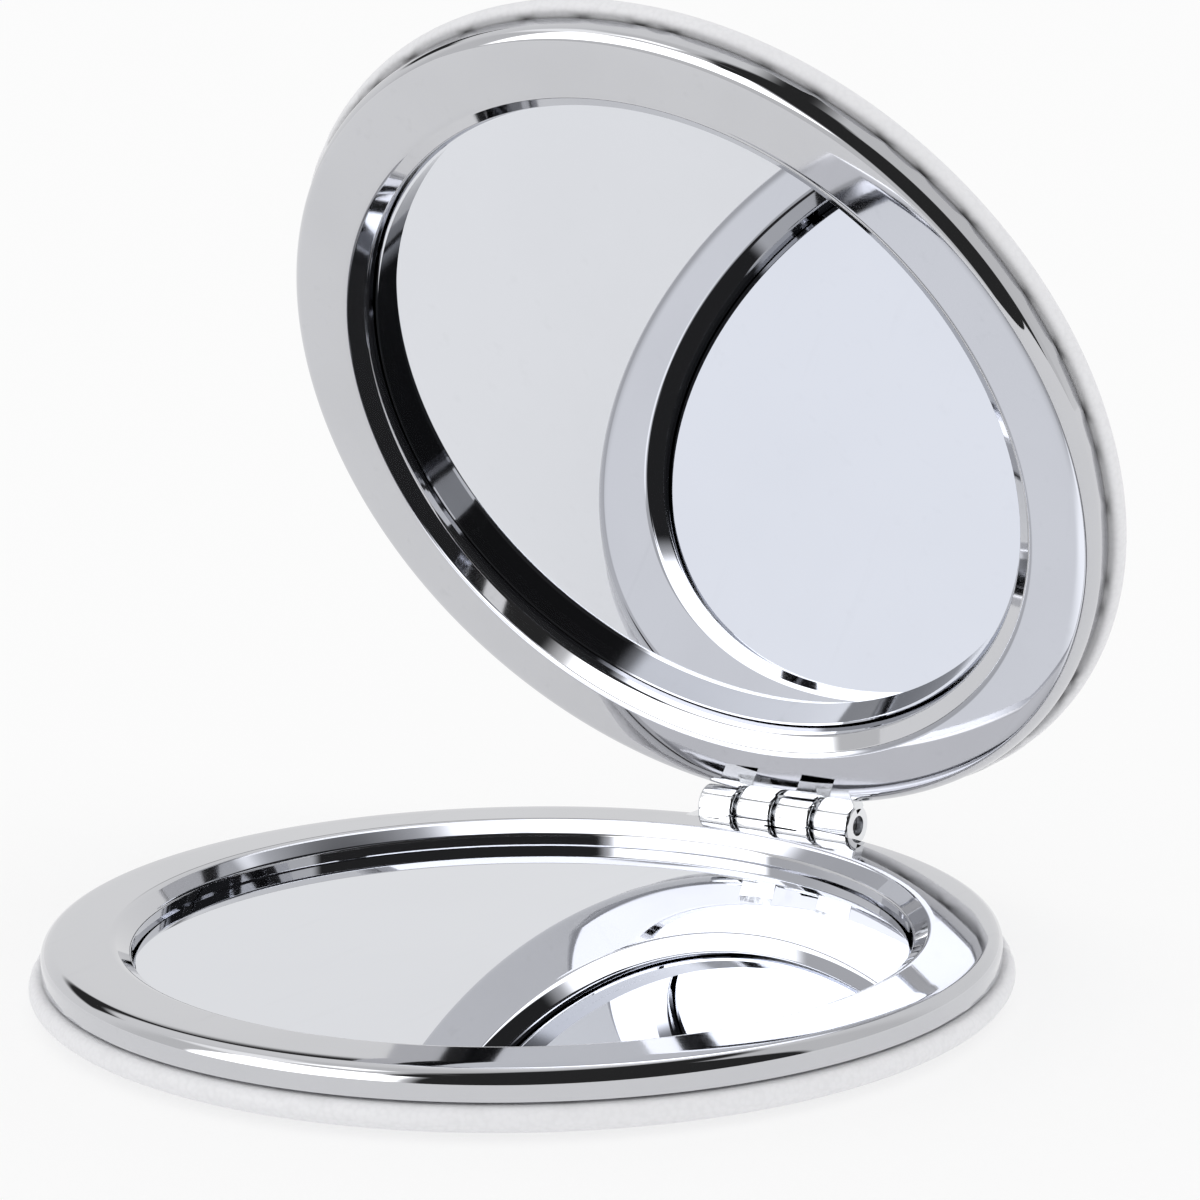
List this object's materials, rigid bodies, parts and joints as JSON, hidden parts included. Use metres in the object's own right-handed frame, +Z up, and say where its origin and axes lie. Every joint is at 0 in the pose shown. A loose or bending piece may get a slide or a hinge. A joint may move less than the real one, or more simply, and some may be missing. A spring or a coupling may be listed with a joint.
{
  "type": "compact mirror",
  "caption": "Round hinged compact mirror with polished chrome rings, flat glass mirrors in both halves and padded white leatherette backs, standing open.",
  "frame": {"origin": "middle of the flat underside of the lower half, on the surface that it rests on", "axes": "+Z up out of the lower mirror, +Y from the middle towards the hinge, X along the hinge pin"},
  "size_m": [0.07, 0.0735, 0.0692],
  "materials": {
    "polished_chrome": "polished",
    "mirror_glass": "polished",
    "white_leatherette": "fine grain, matte",
    "plate_steel": "plain stamped",
    "pin_steel": "drawn wire",
    "magnet_nickel": "nickel plated",
    "padding_foam": "open foam",
    "white_tape": "matte"
  },
  "bodies": {
    "base": {"base_ring": "polished_chrome", "base_mirror": "mirror_glass", "base_mirror_tape": "white_tape", "base_magnet": "magnet_nickel", "base_plate": "plate_steel", "base_padding": "padding_foam", "base_leatherette": "white_leatherette", "hinge_pin": "pin_steel"},
    "lid": {"lid_ring": "polished_chrome", "lid_mirror": "mirror_glass", "lid_mirror_tape": "white_tape", "lid_magnet": "magnet_nickel", "lid_plate": "plate_steel", "lid_padding": "padding_foam", "lid_leatherette": "white_leatherette"}
  },
  "joints": [
    {"name": "lid_hinge", "type": "hinge", "parent": "base", "child": "lid", "pos_m": [0, 0.0351, 0.0047], "axis": [-1, 0, 0], "range_deg": [-64, 116]}
  ]
}
